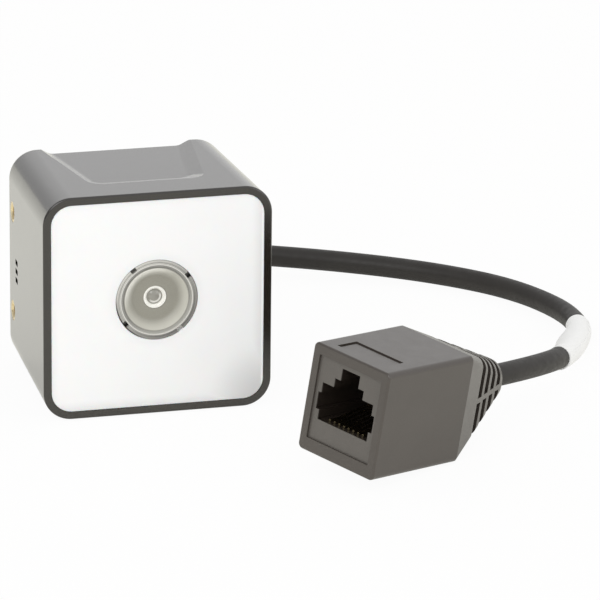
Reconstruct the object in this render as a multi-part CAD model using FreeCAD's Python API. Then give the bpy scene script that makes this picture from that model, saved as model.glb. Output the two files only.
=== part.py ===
import FreeCAD, Part
import math
import os

from FreeCAD import Placement, Rotation, Vector

# Fixed-mount barcode scan engine with a tethered modular jack, in millimetres.
# +Z is up and the window looks along -Y. The origin is under the middle of the
# housing, on the surface that it stands on. A depth is measured back from the front.

# How far a cutter runs past what it cuts, and how close counts as the same place
OVERRUN = 1.0
NEAR = 1e-4

# Housing
WIDTH = 38.0
HEIGHT = 37.8
DEPTH = 32.3
CORNER = 4.7
SIDE_DRAFT = 0.88
TOP_DRAFT = 1.45
RIM = 1.3
WALL = 2.1
REAR_WALL = 1.8
SEAT_DEPTH = 1.75
REAR_ROUND = 1.2
RIM_ROUND = 0.3

# Pocket in the top, open to the rear
POCKET_DEEP = 1.15
POCKET_FRONT = 7.2
POCKET_HALF_FRONT = 9.44
POCKET_HALF_REAR = 12.9
POCKET_SIDE_RAMP = 1.9
POCKET_FRONT_RAMP = 4.6
POCKET_CORNER = 2.6
POCKET_CORNER_GROWTH = 0.6
POCKET_ROUND = 2.0

# Threaded inserts and sound slots in the left side
INSERT_DEPTH = 28.4
INSERT_SPACING = 17.2
INSERT_MID_Z = 18.2
INSERT_RADIUS = 1.75
INSERT_BORE = 1.05
INSERT_LENGTH = 3.0
INSERT_FACE_X = -18.18
INSERT_CHAMFER = 0.3
INSERT_GROOVE = 0.25
INSERT_GROOVE_REACH = (1.2, 1.8)
INSERT_BOSS_RADIUS = 3.2
INSERT_BOSS_FLOOR = 0.4
SLOT_COUNT = 3
SLOT_PITCH = 1.55
SLOT_LONG = 2.0
SLOT_TALL = 0.9
SLOT_DEPTH = 24.8
SLOT_MID_Z = 17.5

# Front panel, window and lens
PANEL_GAP = 0.05
PANEL_FRONT = 0.1
LENS_X = -0.2
LENS_Z = 19.5
RING_RADIUS = 6.8
RING_BORE = 5.5
RING_FRONT = 0.05
RING_STEP_RADIUS = 5.9
RING_STEP = 0.3
RING_BEVEL = 0.15
RING_GROOVE_REACH = (6.25, 6.4)
RING_GROOVE = 0.15
RING_FLANGE_RADIUS = 7.8
RING_REAR = 2.65
NOTCH_COUNT = 4
NOTCH_TURN = 36.5
NOTCH_WIDE = 1.0
NOTCH_INNER = 6.1
NOTCH_DEEP = 0.9
DISH_LIP = 5.45
DISH_EDGE = 5.2
DISH_FLAT = 4.05
DISH_FRONT = 0.25
DISH_DEEP = 1.45
DISH_ROUND = 1.2
DISH_EDGE_ROUND = 0.12
DISH_BACK = 2.1
DISH_FLANGE_RADIUS = 7.0
DISH_FLANGE_BACK = 3.3
DISH_SKIRT_RADIUS = 4.4
DISH_SKIRT_BACK = 5.0
RETAINER_RADIUS = 1.9
RETAINER_BORE = 1.35
RETAINER_FRONT = 1.55
RETAINER_BEVEL = 0.25
LENS_RADIUS = 1.55
LENS_EDGE_BACK = 3.0
LENS_CAP_RADIUS = 1.05
LENS_CAP_RISE = 0.35
BARREL_RADIUS = 3.4
BARREL_BACK = 12.0
BARREL_APERTURE = 1.1
BARREL_THROAT = 3.6
BARREL_BELL = 2.6

# Board stack behind the front panel
BOARD_SIDE = 30.0
BOARD_Z = 18.6
BOARD_CORNER = 2.0
SCREW_HALF = 12.4
LED_BOARD = (6.5, 7.7)
IMAGER_BOARD = (15.0, 16.0)
DECODER_BOARD = (20.5, 21.7)
LED_BOARD_BORE = 4.0
LED_COUNT = 8
LED_CIRCLE = 10.5
LED_SIZE = (3.5, 0.8, 2.8)
SPACER_RADIUS = 2.0
SCREW_CLEARANCE = 1.1
SCREW_RADIUS = 0.98
SCREW_PILOT = 1.0
SCREW_TIP = 28.0
SCREW_HEAD_RADIUS = 1.9
SCREW_HEAD = 1.3
SCREW_SLOT = (0.5, 0.6)
POST_RADIUS = 2.3
POST_PILOT_END = 28.5
HOLDER_BASE = 11.0
HOLDER_BASE_FRONT = 12.8
HOLDER_NECK_RADIUS = 4.6
HOLDER_NECK_FRONT = 8.4
HOLDER_POCKET = 8.0
HOLDER_POCKET_FRONT = 12.2
BARREL_PLAY = 0.02
SENSOR_SIZE = (7.0, 1.1, 6.2)
CHIP_SIZE = (12.0, 1.1, 12.0)
CHIP_PLACE = (-3.0, 14.5)
MEMORY_SIZE = (8.0, 0.9, 6.0)
MEMORY_PLACE = (8.5, 17.0)
FLEX_CONNECTOR_SIZE = (10.0, 1.2, 2.4)
FLEX_Z = 26.5
FLEX_WIDE = 8.0
FLEX_THICK = 0.2
FLEX_LIFT = 1.5
BUZZER_PLACE = (-9.3, 17.5)
BUZZER_RADIUS = 4.5
BUZZER_TALL = 4.5
BUZZER_PORT = 0.8
BUZZER_PORT_DEEP = 1.0
BUZZER_ROUND = 0.5

# Cable plug on the decoder board and the leads to the grommet
HEADER_SIZE = (8.6, 3.6, 4.6)
HEADER_LOW_Z = 19.5
HEADER_WALL = 0.7
PLUG_IN = 2.6
PLUG_OUT = 2.4
LEAD_COUNT = 5
LEAD_PITCH = 1.0
LEAD_RADIUS = 0.3

# Grommet in the rear wall
GROMMET_Z = 11.0
GROMMET_INNER_RADIUS = 4.7
GROMMET_INNER = 1.2
GROMMET_NECK = 3.7
GROMMET_FLANGE_RADIUS = 4.8
GROMMET_FLANGE = 1.4
GROMMET_NOSE_ROOT = 3.5
GROMMET_NOSE_TIP = 2.5
GROMMET_REACH = 5.0

# Jack, in its own frame: x across the socket, y from its face to its cable, z up
JACK_WIDTH = 16.3
JACK_HEIGHT = 18.0
JACK_LENGTH = 20.0
JACK_CORNER = 0.9
JACK_FACE_ROUND = 0.35
JACK_PLACE = Vector(20.01, -52.95, 2.86)
JACK_TURN = -58.2
JACK_LEAN = 5.7
JACK_PITCH = -6.1
INSERT_HALF = 6.65
INSERT_LOW = 2.25
INSERT_HIGH = 16.25
INSERT_SET_BACK = 0.4
INSERT_BACK = 14.4
SOCKET_DEEP = 11.9
SOCKET_STEPS = (
    (5.35, 5.7, 7.3),
    (6.05, 7.3, 10.15),
    (5.45, 10.15, 11.9),
    (3.1, 11.9, 13.4),
    (1.9, 13.4, 15.45),
)
LATCH_RECESS_HALF = 5.1
LATCH_RECESS = (2.0, 6.5)
LATCH_RECESS_DEEP = 0.2
LATCH_GAP = 0.4
LATCH_GAP_DEEP = 1.2
RELIEF_TIP_HALF = 3.2
RELIEF_TIP_CORNER = 3.0
RELIEF_TIP_ROUND = 0.8
RELIEF_CORE = 1.25
RELIEF_RISE = 0.6
RELIEF_LENGTH = 14.7
RELIEF_ROWS = 4
RELIEF_ROW_START = 4.75
RELIEF_ROW_PITCH = 2.36
RELIEF_SLOT = 1.4
RELIEF_RIB = 0.9
CONTACT_COUNT = 8
CONTACT_PITCH = 1.02
CONTACT_RADIUS = 0.22
CONTACT_FRONT = 1.4
CONTACT_BENDS = (3.4, 9.4)
CONTACT_RISE = 1.2

# Cable and its label
CABLE_RADIUS = 1.85
CABLE_JACK_RUN = 11.6
CABLE_ROUTE = (
    Vector(0.0, 36.0, 11.0),
    Vector(9.0, 48.0, 9.0),
    Vector(23.5, 51.5, 5.5),
    Vector(43.5, 45.8, 3.1),
    Vector(61.5, 37.9, 2.4),
    Vector(75.0, 23.5, 2.0),
    Vector(79.0, 4.5, 3.0),
    Vector(71.0, -15.0, 5.0),
)
ARC_SHARE = 0.45
LABEL_THICK = 0.2
LABEL_START = 123.5
LABEL_LENGTH = 24.0

BACK = Vector(0, 1, 0)


def y_at(depth):
    """Gives the y of a depth measured back from the front of the housing."""
    return depth - DEPTH / 2


def rounded_outline(left, right, low, high, radius, y):
    """Draws a rectangle with round corners, standing in the plane of the given y."""
    centres = (
        (right - radius, low + radius, -90),
        (right - radius, high - radius, 0),
        (left + radius, high - radius, 90),
        (left + radius, low + radius, 180),
    )
    arcs = []
    for x, z, begin in centres:
        angles = [math.radians(begin + step) for step in (0, 45, 90)]
        arcs.append([Vector(x + radius * math.cos(a), y, z + radius * math.sin(a)) for a in angles])
    edges = []
    for arc, following in zip(arcs, arcs[1:] + arcs[:1]):
        edges.append(Part.Arc(*arc).toShape())
        edges.append(Part.LineSegment(arc[2], following[0]).toShape())
    return Part.Wire(edges)


def loft(first, last):
    """Joins two outlines with straight flanks into a solid."""
    return Part.makeLoft([first, last], True, True)


def slab(outline, thickness):
    """Thickens an outline towards the rear."""
    return Part.Face(outline).extrude(BACK * thickness)


def block(x0, x1, y0, y1, z0, z1):
    """Makes a plain block from its limits."""
    return Part.makeBox(x1 - x0, y1 - y0, z1 - z0, Vector(x0, y0, z0))


def rod(x, z, radius, depth0, depth1):
    """Makes a round bar along Y between two depths."""
    return Part.makeCylinder(radius, depth1 - depth0, Vector(x, y_at(depth0), z), BACK)


def turned(profile, x, z):
    """Turns a profile of radius and depth pairs about an axis along Y."""
    points = [Vector(x + radius, y_at(depth), z) for radius, depth in profile]
    face = Part.Face(Part.makePolygon(points + points[:1]))
    return face.revolve(Vector(x, 0, z), BACK, 360)


def edges_at_y(shape, y):
    """Lists the edges of a shape that lie in the plane of the given y."""
    return [e for e in shape.Edges if all(abs(v.Point.y - y) < NEAR for v in e.Vertexes)]


def side_x(depth):
    """Gives the distance of the drafted side wall from the middle at a depth."""
    return WIDTH / 2 - SIDE_DRAFT * depth / DEPTH


def top_z(depth):
    """Gives the height of the drafted top at a depth."""
    return HEIGHT - TOP_DRAFT * depth / DEPTH


def drafted_block(depth0, depth1, inset, corner):
    """Makes a block with the housing's draft between two depths, set in by a wall, its long edges round."""
    near = side_x(depth0) - inset
    far = side_x(depth1) - inset
    wedge = Part.makeWedge(
        -near, y_at(depth0), inset, inset, -far,
        near, y_at(depth1), top_z(depth0) - inset, top_z(depth1) - inset, far)
    long_edges = [e for e in wedge.Edges if e.BoundBox.YLength > NEAR]
    return wedge.makeFillet(corner, long_edges)


def screw_places():
    """Lists the four corners of the board stack as x and z."""
    return [(x * SCREW_HALF, BOARD_Z + z * SCREW_HALF) for x in (-1, 1) for z in (-1, 1)]


def insert_heights():
    """Lists the heights of the two threaded inserts."""
    return [INSERT_MID_Z + sign * INSERT_SPACING / 2 for sign in (-1, 1)]


def pocket_cutter():
    """Makes the solid that the top pocket takes out: a flat floor with ramps and round corners."""
    slope = math.degrees(math.atan2(TOP_DRAFT, DEPTH))
    flare = (POCKET_HALF_REAR - POCKET_HALF_FRONT) / (DEPTH - POCKET_FRONT)

    def half(depth, share):
        return POCKET_HALF_FRONT + flare * (depth - POCKET_FRONT) + share * POCKET_SIDE_RAMP

    def outline(share):
        front = POCKET_FRONT - share * POCKET_FRONT_RAMP
        rear = DEPTH + OVERRUN
        turns = ((-1, rear), (-1, front), (1, front), (1, rear))
        points = [Vector(sign * half(depth, share), depth, share * POCKET_DEEP) for sign, depth in turns]
        edges, _ = route_edges(points, POCKET_CORNER + share * POCKET_CORNER_GROWTH)
        return Part.Wire(edges + [Part.LineSegment(points[-1], points[0]).toShape()])

    cutter = loft(outline(-1), outline(1))
    floor = [
        e for e in cutter.Edges
        if all(abs(v.Point.z + POCKET_DEEP) < NEAR for v in e.Vertexes) and e.BoundBox.YMin < DEPTH
    ]
    cutter = cutter.makeFillet(POCKET_ROUND, floor)
    cutter.Placement = Placement(Vector(0, y_at(0), HEIGHT), Rotation(Vector(1, 0, 0), -slope))
    return cutter


def housing():
    """Moulds the case: drafted walls, pocket, diffuser seat, screw posts and insert bosses."""
    body = drafted_block(0, DEPTH, 0, CORNER)
    body = body.makeFillet(REAR_ROUND, edges_at_y(body, y_at(DEPTH)))
    body = body.makeFillet(RIM_ROUND, edges_at_y(body, y_at(0)))
    body = body.cut(pocket_cutter())
    inner_rear = DEPTH - REAR_WALL
    body = body.cut(drafted_block(SEAT_DEPTH, inner_rear, WALL, CORNER - WALL))
    body = body.cut(slab(panel_outline(0), SEAT_DEPTH))
    for x, z in screw_places():
        body = body.fuse(rod(x, z, POST_RADIUS, DECODER_BOARD[1], inner_rear + REAR_WALL / 2))
        body = body.cut(rod(x, z, SCREW_PILOT, DECODER_BOARD[1], POST_PILOT_END))
    insert_end = INSERT_FACE_X + INSERT_LENGTH
    boss_root = INSERT_FACE_X + WALL / 2
    boss_long = insert_end + INSERT_BOSS_FLOOR - boss_root
    sideways = Vector(1, 0, 0)
    for z in insert_heights():
        y = y_at(INSERT_DEPTH)
        body = body.fuse(Part.makeCylinder(INSERT_BOSS_RADIUS, boss_long, Vector(boss_root, y, z), sideways))
        bore_start = Vector(-WIDTH / 2, y, z)
        body = body.cut(Part.makeCylinder(INSERT_RADIUS, insert_end + WIDTH / 2, bore_start, sideways))
    for index in range(SLOT_COUNT):
        z = SLOT_MID_Z + (index - (SLOT_COUNT - 1) / 2) * SLOT_PITCH
        y = y_at(SLOT_DEPTH)
        inside = -side_x(SLOT_DEPTH) + WALL + OVERRUN
        body = body.cut(block(
            -WIDTH / 2, inside, y - SLOT_LONG / 2, y + SLOT_LONG / 2, z - SLOT_TALL / 2, z + SLOT_TALL / 2))
    body = body.cut(rod(0, GROMMET_Z, GROMMET_NECK, inner_rear - OVERRUN, DEPTH + OVERRUN))
    return body.removeSplitter()


def panel_outline(gap):
    """Draws the front opening, set in by a gap, at the front of the housing."""
    inset = RIM + gap
    half = WIDTH / 2 - inset
    return rounded_outline(-half, half, inset, HEIGHT - inset, CORNER - RIM, y_at(0))


def front_diffuser():
    """Cuts the white panel that fills the front, with its round hole for the window."""
    panel = slab(panel_outline(PANEL_GAP), SEAT_DEPTH - PANEL_FRONT)
    panel.translate(BACK * PANEL_FRONT)
    return panel.cut(rod(LENS_X, LENS_Z, RING_RADIUS + PANEL_GAP, -OVERRUN, SEAT_DEPTH + OVERRUN))


def window_ring():
    """Turns the clear bezel of the window, stepped and grooved, and cuts its clip notches."""
    groove_start, groove_end = RING_GROOVE_REACH
    ring = turned((
        (RING_BORE, RING_FRONT + RING_STEP),
        (RING_STEP_RADIUS, RING_FRONT + RING_STEP),
        (RING_STEP_RADIUS, RING_FRONT),
        (groove_start, RING_FRONT),
        (groove_start, RING_FRONT + RING_GROOVE),
        (groove_end, RING_FRONT + RING_GROOVE),
        (groove_end, RING_FRONT),
        (RING_RADIUS - RING_BEVEL, RING_FRONT),
        (RING_RADIUS, RING_FRONT + RING_BEVEL),
        (RING_RADIUS, SEAT_DEPTH),
        (RING_FLANGE_RADIUS, SEAT_DEPTH),
        (RING_FLANGE_RADIUS, RING_REAR),
        (RING_BORE, RING_REAR),
    ), LENS_X, LENS_Z)
    centre = Vector(LENS_X, 0, LENS_Z)
    for index in range(NOTCH_COUNT):
        notch = block(
            LENS_X + NOTCH_INNER, LENS_X + RING_FLANGE_RADIUS, y_at(0), y_at(NOTCH_DEEP),
            LENS_Z - NOTCH_WIDE / 2, LENS_Z + NOTCH_WIDE / 2)
        notch.rotate(centre, BACK, -NOTCH_TURN - 360 / NOTCH_COUNT * index)
        ring = ring.cut(notch)
    return ring


def lens_dish():
    """Turns the dished cover with its flange behind the ring and its skirt round the lens barrel."""
    cover = turned((
        (RETAINER_RADIUS + PANEL_GAP, DISH_DEEP),
        (DISH_FLAT, DISH_DEEP),
        (DISH_EDGE, DISH_FRONT),
        (DISH_LIP, DISH_FRONT),
        (DISH_LIP, RING_REAR),
        (DISH_FLANGE_RADIUS, RING_REAR),
        (DISH_FLANGE_RADIUS, DISH_FLANGE_BACK),
        (DISH_SKIRT_RADIUS, DISH_FLANGE_BACK),
        (DISH_SKIRT_RADIUS, DISH_SKIRT_BACK),
        (BARREL_RADIUS + PANEL_GAP, DISH_SKIRT_BACK),
        (BARREL_RADIUS + PANEL_GAP, DISH_BACK),
        (RETAINER_RADIUS + PANEL_GAP, DISH_BACK),
    ), LENS_X, LENS_Z)
    bends = ((DISH_DEEP, DISH_FLAT, DISH_ROUND), (DISH_FRONT, DISH_EDGE, DISH_EDGE_ROUND))
    for depth, radius, fillet in bends:
        bend = [e for e in edges_at_y(cover, y_at(depth)) if abs(e.Curve.Radius - radius) < NEAR]
        cover = cover.makeFillet(fillet, bend)
    return cover


def lens_retainer():
    """Turns the pale ring that holds the lens, with a bevelled mouth."""
    return turned((
        (RETAINER_BORE + RETAINER_BEVEL, RETAINER_FRONT),
        (RETAINER_RADIUS, RETAINER_FRONT),
        (RETAINER_RADIUS, DISH_BACK),
        (RETAINER_BORE, DISH_BACK),
        (RETAINER_BORE, RETAINER_FRONT + RETAINER_BEVEL),
    ), LENS_X, LENS_Z)


def front_lens():
    """Grinds the glass lens: a flat-backed disc with a domed front inside the retainer."""
    disc = rod(LENS_X, LENS_Z, LENS_RADIUS, DISH_BACK, LENS_EDGE_BACK)
    ball_radius = (LENS_CAP_RADIUS ** 2 + LENS_CAP_RISE ** 2) / (2 * LENS_CAP_RISE)
    ball_depth = DISH_BACK - LENS_CAP_RISE + ball_radius
    ball = Part.makeSphere(ball_radius, Vector(LENS_X, y_at(ball_depth), LENS_Z))
    cap = ball.common(rod(LENS_X, LENS_Z, LENS_RADIUS, DISH_BACK - LENS_CAP_RISE - OVERRUN, DISH_BACK))
    return disc.fuse(cap)


def lens_barrel():
    """Turns the barrel: a seat for the lens, an aperture and a bell mouth towards the sensor."""
    seat = LENS_RADIUS + PANEL_GAP
    return turned((
        (seat, DISH_BACK),
        (BARREL_RADIUS, DISH_BACK),
        (BARREL_RADIUS, BARREL_BACK),
        (BARREL_BELL, BARREL_BACK),
        (BARREL_APERTURE, BARREL_THROAT),
        (BARREL_APERTURE, LENS_EDGE_BACK),
        (seat, LENS_EDGE_BACK),
    ), LENS_X, LENS_Z)


def lens_holder():
    """Moulds the holder: a square foot over the sensor and a round neck for the barrel."""
    foot = centred_block((HOLDER_BASE, IMAGER_BOARD[0] - HOLDER_BASE_FRONT, HOLDER_BASE),
                         HOLDER_BASE_FRONT, LENS_X, LENS_Z)
    neck = rod(LENS_X, LENS_Z, HOLDER_NECK_RADIUS, HOLDER_NECK_FRONT, HOLDER_BASE_FRONT)
    pocket = centred_block((HOLDER_POCKET, IMAGER_BOARD[0] - HOLDER_POCKET_FRONT, HOLDER_POCKET),
                           HOLDER_POCKET_FRONT, LENS_X, LENS_Z)
    bore = rod(LENS_X, LENS_Z, BARREL_RADIUS + BARREL_PLAY, HOLDER_NECK_FRONT, HOLDER_POCKET_FRONT)
    return foot.fuse(neck).removeSplitter().cut(bore).cut(pocket)


def centred_block(size, front_depth, x, z):
    """Makes a block of width, thickness and height whose front is at a depth, centred on x and z."""
    wide, thick, tall = size
    y = y_at(front_depth)
    return block(x - wide / 2, x + wide / 2, y, y + thick, z - tall / 2, z + tall / 2)


def circuit_board(depths):
    """Cuts a square circuit board with round corners and its four screw holes."""
    half = BOARD_SIDE / 2
    outline = rounded_outline(-half, half, BOARD_Z - half, BOARD_Z + half, BOARD_CORNER, y_at(depths[0]))
    board = slab(outline, depths[1] - depths[0])
    for x, z in screw_places():
        board = board.cut(rod(x, z, SCREW_CLEARANCE, depths[0] - OVERRUN, depths[1] + OVERRUN))
    return board


def led_board():
    """Cuts the board that carries the lights, with a hole for the lens barrel."""
    bore = rod(LENS_X, LENS_Z, LED_BOARD_BORE, LED_BOARD[0] - OVERRUN, LED_BOARD[1] + OVERRUN)
    return circuit_board(LED_BOARD).cut(bore)


def illumination_leds():
    """Sets the lights in a circle round the lens, on the front of their board."""
    lights = []
    for index in range(LED_COUNT):
        angle = math.radians(360 / LED_COUNT * index)
        x = LENS_X + LED_CIRCLE * math.cos(angle)
        z = LENS_Z + LED_CIRCLE * math.sin(angle)
        lights.append(centred_block(LED_SIZE, LED_BOARD[0] - LED_SIZE[1], x, z))
    return Part.makeCompound(lights)


def spacers(depth0, depth1):
    """Makes the four tubes that keep two boards apart."""
    tubes = []
    for x, z in screw_places():
        tube = rod(x, z, SPACER_RADIUS, depth0, depth1)
        tubes.append(tube.cut(rod(x, z, SCREW_CLEARANCE, depth0 - OVERRUN, depth1 + OVERRUN)))
    return Part.makeCompound(tubes)


def stack_screws():
    """Makes the four long screws that hold the board stack on the posts."""
    screws = []
    slot_wide, slot_deep = SCREW_SLOT
    head_front = LED_BOARD[0] - SCREW_HEAD
    for x, z in screw_places():
        head = rod(x, z, SCREW_HEAD_RADIUS, head_front, LED_BOARD[0])
        slot = centred_block((2 * SCREW_HEAD_RADIUS, slot_deep, slot_wide), head_front, x, z)
        shank = rod(x, z, SCREW_RADIUS, LED_BOARD[0], SCREW_TIP)
        screws.append(head.cut(slot).fuse(shank))
    return Part.makeCompound(screws)


def image_sensor():
    """Sets the sensor on the imager board, behind the lens."""
    return centred_block(SENSOR_SIZE, IMAGER_BOARD[0] - SENSOR_SIZE[1], LENS_X, LENS_Z)


def chip(size, place):
    """Sets a chip on the front of the decoder board."""
    return centred_block(size, DECODER_BOARD[0] - size[1], *place)


def flex_connectors():
    """Sets the two sockets of the flexible strip on the facing sides of their boards."""
    tall = FLEX_CONNECTOR_SIZE[1]
    return Part.makeCompound([
        centred_block(FLEX_CONNECTOR_SIZE, IMAGER_BOARD[1], 0, FLEX_Z),
        centred_block(FLEX_CONNECTOR_SIZE, DECODER_BOARD[0] - tall, 0, FLEX_Z),
    ])


def imager_flex():
    """Bends the flexible strip from one socket up and over into the other."""
    start_z = FLEX_Z + FLEX_CONNECTOR_SIZE[2] / 2
    near = IMAGER_BOARD[1] + FLEX_CONNECTOR_SIZE[1] / 2
    far = DECODER_BOARD[0] - FLEX_CONNECTOR_SIZE[1] / 2
    middle = (near + far) / 2
    bend_z = start_z + FLEX_LIFT

    def hairpin(grow):
        radius = (far - near) / 2 + grow
        outline = rod_half_disc(middle, bend_z, radius)
        y = y_at(middle)
        leg = block(-FLEX_WIDE / 2, FLEX_WIDE / 2, y - radius, y + radius, start_z, bend_z)
        return outline.fuse(leg)

    return hairpin(FLEX_THICK / 2).cut(hairpin(-FLEX_THICK / 2)).removeSplitter()


def rod_half_disc(depth, z, radius):
    """Makes the upper half of a disc across the width of the flexible strip."""
    start = Vector(-FLEX_WIDE / 2, y_at(depth), z)
    return Part.makeCylinder(radius, FLEX_WIDE, start, Vector(1, 0, 0)).common(
        block(-FLEX_WIDE, FLEX_WIDE, y_at(depth) - radius, y_at(depth) + radius, z, z + radius))


def buzzer():
    """Turns the sounder on the back of the decoder board, with its port."""
    x, z = BUZZER_PLACE
    front = DECODER_BOARD[1]
    rear = front + BUZZER_TALL
    can = rod(x, z, BUZZER_RADIUS, front, rear)
    can = can.makeFillet(BUZZER_ROUND, edges_at_y(can, y_at(rear)))
    return can.cut(rod(x, z, BUZZER_PORT, rear - BUZZER_PORT_DEEP, rear + OVERRUN))


def cable_header():
    """Moulds the socket on the back of the decoder board, open at its lower end."""
    wide, deep, tall = HEADER_SIZE
    y = y_at(DECODER_BOARD[1])
    body = block(-wide / 2, wide / 2, y, y + deep, HEADER_LOW_Z, HEADER_LOW_Z + tall)
    mouth = block(
        -wide / 2 + HEADER_WALL, wide / 2 - HEADER_WALL, y + HEADER_WALL, y + deep - HEADER_WALL,
        HEADER_LOW_Z, HEADER_LOW_Z + PLUG_IN)
    return body.cut(mouth)


def cable_plug():
    """Moulds the plug that sits in the header."""
    wide, deep, _ = HEADER_SIZE
    y = y_at(DECODER_BOARD[1])
    margin = HEADER_WALL + PANEL_GAP
    return block(
        -wide / 2 + margin, wide / 2 - margin, y + margin, y + deep - margin,
        HEADER_LOW_Z - PLUG_OUT, HEADER_LOW_Z + PLUG_IN)


def cable_leads():
    """Leads the wires from the plug down and back into the grommet."""
    y = y_at(DECODER_BOARD[1]) + HEADER_SIZE[1] / 2
    grommet_y = y_at(DEPTH - REAR_WALL - GROMMET_INNER)
    leads = []
    for index in range(LEAD_COUNT):
        x = (index - (LEAD_COUNT - 1) / 2) * LEAD_PITCH
        points = [
            Vector(x, y, HEADER_LOW_Z - PLUG_OUT),
            Vector(x, y, GROMMET_Z),
            Vector(x, grommet_y, GROMMET_Z),
        ]
        leads.append(swept(route_edges(points)[0], LEAD_RADIUS))
    return Part.makeCompound(leads)


def cable_grommet():
    """Turns the grommet that is moulded on the cable and held in the rear wall."""
    inner_rear = DEPTH - REAR_WALL
    return turned((
        (0, inner_rear - GROMMET_INNER),
        (GROMMET_INNER_RADIUS, inner_rear - GROMMET_INNER),
        (GROMMET_INNER_RADIUS, inner_rear),
        (GROMMET_NECK, inner_rear),
        (GROMMET_NECK, DEPTH),
        (GROMMET_FLANGE_RADIUS, DEPTH),
        (GROMMET_FLANGE_RADIUS, DEPTH + GROMMET_FLANGE),
        (GROMMET_NOSE_ROOT, DEPTH + GROMMET_FLANGE),
        (GROMMET_NOSE_TIP, DEPTH + GROMMET_REACH),
        (0, DEPTH + GROMMET_REACH),
    ), 0, GROMMET_Z)


def side_inserts():
    """Turns the two brass inserts, each with a groove round its middle and a bevelled bore."""
    inserts = []
    groove_start, groove_end = INSERT_GROOVE_REACH
    profile = (
        (INSERT_BORE + INSERT_CHAMFER, 0),
        (INSERT_RADIUS, 0),
        (INSERT_RADIUS, groove_start),
        (INSERT_RADIUS - INSERT_GROOVE, groove_start),
        (INSERT_RADIUS - INSERT_GROOVE, groove_end),
        (INSERT_RADIUS, groove_end),
        (INSERT_RADIUS, INSERT_LENGTH),
        (INSERT_BORE, INSERT_LENGTH),
        (INSERT_BORE, INSERT_CHAMFER),
    )
    y = y_at(INSERT_DEPTH)
    for z in insert_heights():
        points = [Vector(INSERT_FACE_X + along, y, z + radius) for radius, along in profile]
        face = Part.Face(Part.makePolygon(points + points[:1]))
        inserts.append(face.revolve(Vector(0, y, z), Vector(1, 0, 0), 360))
    return Part.makeCompound(inserts)


def jack_placement():
    """Gives the pose of the jack where it lies in front of the housing."""
    return Placement(JACK_PLACE, Rotation(JACK_TURN, JACK_LEAN, JACK_PITCH))


def placed(shape):
    """Moves a piece of the jack from the jack's frame to where it lies."""
    shape.Placement = jack_placement()
    return shape


def shell_section(inset, y):
    """Draws the section of the jack's box, set in by a depth."""
    half = JACK_WIDTH / 2 - inset
    return rounded_outline(-half, half, inset, JACK_HEIGHT - inset, JACK_CORNER, y)


def tip_section(inset):
    """Draws the section at the strain relief's tip, set in by a depth, round the axis of the cable."""
    half = RELIEF_TIP_HALF - inset
    z = relief_z(1)
    return rounded_outline(-half, half, z - half, z + half, RELIEF_TIP_CORNER - inset, relief_tip_y())


def relief_z(share):
    """Gives the height of the strain relief's axis, a share of the way from the box to the tip."""
    return JACK_HEIGHT / 2 + RELIEF_RISE * share


def relief_tip_y():
    """Gives the place of the strain relief's tip along the jack."""
    return JACK_LENGTH + RELIEF_LENGTH


def strain_relief():
    """Lofts the tapered strain relief and cuts rows of slots that ribs bridge at mid-side."""
    body = loft(shell_section(0, JACK_LENGTH), tip_section(0))
    body = body.makeFillet(RELIEF_TIP_ROUND, edges_at_y(body, relief_tip_y()))
    core = loft(shell_section(RELIEF_CORE, JACK_LENGTH), tip_section(RELIEF_CORE / 2))
    reach = JACK_HEIGHT
    rib = RELIEF_RIB / 2
    for row in range(RELIEF_ROWS):
        along = RELIEF_ROW_START + row * RELIEF_ROW_PITCH
        begin = JACK_LENGTH + along
        end = begin + RELIEF_SLOT
        z = relief_z(along / RELIEF_LENGTH)
        ring = block(-reach, reach, begin, end, z - reach, z + reach).cut(core)
        ring = ring.cut(block(-rib, rib, begin, end, z - reach, z + reach))
        ring = ring.cut(block(-reach, reach, begin, end, z - rib, z + rib))
        body = body.cut(ring)
    return body


def jack_shell():
    """Moulds the jack's shell: box and strain relief in one, with a pocket for the socket."""
    box = slab(shell_section(0, 0), JACK_LENGTH)
    box = box.makeFillet(JACK_FACE_ROUND, edges_at_y(box, 0))
    body = box.fuse(strain_relief())
    body = body.cut(block(-INSERT_HALF, INSERT_HALF, -OVERRUN, INSERT_BACK, INSERT_LOW, INSERT_HIGH))
    return placed(body.cut(latch_recess()).removeSplitter())


def latch_recess():
    """Makes the solid that the latch recess takes out: a shallow floor with gaps on two sides."""
    half = LATCH_RECESS_HALF
    front, back = LATCH_RECESS
    high = JACK_HEIGHT + OVERRUN
    gap_low = JACK_HEIGHT - LATCH_GAP_DEEP
    floor = block(-half, half, front, back, JACK_HEIGHT - LATCH_RECESS_DEEP, high)
    side_gap = block(-half, LATCH_GAP - half, front, back, gap_low, high)
    back_gap = block(-half, half, back - LATCH_GAP, back, gap_low, high)
    return floor.fuse(side_gap).fuse(back_gap)


def jack_insert():
    """Moulds the socket body with its stepped opening, latch notch up."""
    body = block(-INSERT_HALF, INSERT_HALF, INSERT_SET_BACK, INSERT_BACK, INSERT_LOW, INSERT_HIGH)
    for half, low, high in SOCKET_STEPS:
        body = body.cut(block(-half, half, 0, SOCKET_DEEP, low, high))
    return placed(body)


def jack_contacts():
    """Bends the contact wires: along the socket's floor, up, and level into its back."""
    floor = SOCKET_STEPS[0][1] + CONTACT_RADIUS
    wires = []
    for index in range(CONTACT_COUNT):
        x = (index - (CONTACT_COUNT - 1) / 2) * CONTACT_PITCH
        points = [
            Vector(x, CONTACT_FRONT, floor),
            Vector(x, CONTACT_BENDS[0], floor),
            Vector(x, CONTACT_BENDS[1], floor + CONTACT_RISE),
            Vector(x, SOCKET_DEEP, floor + CONTACT_RISE),
        ]
        wires.append(swept(route_edges(points)[0], CONTACT_RADIUS))
    return placed(Part.makeCompound(wires))


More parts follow.
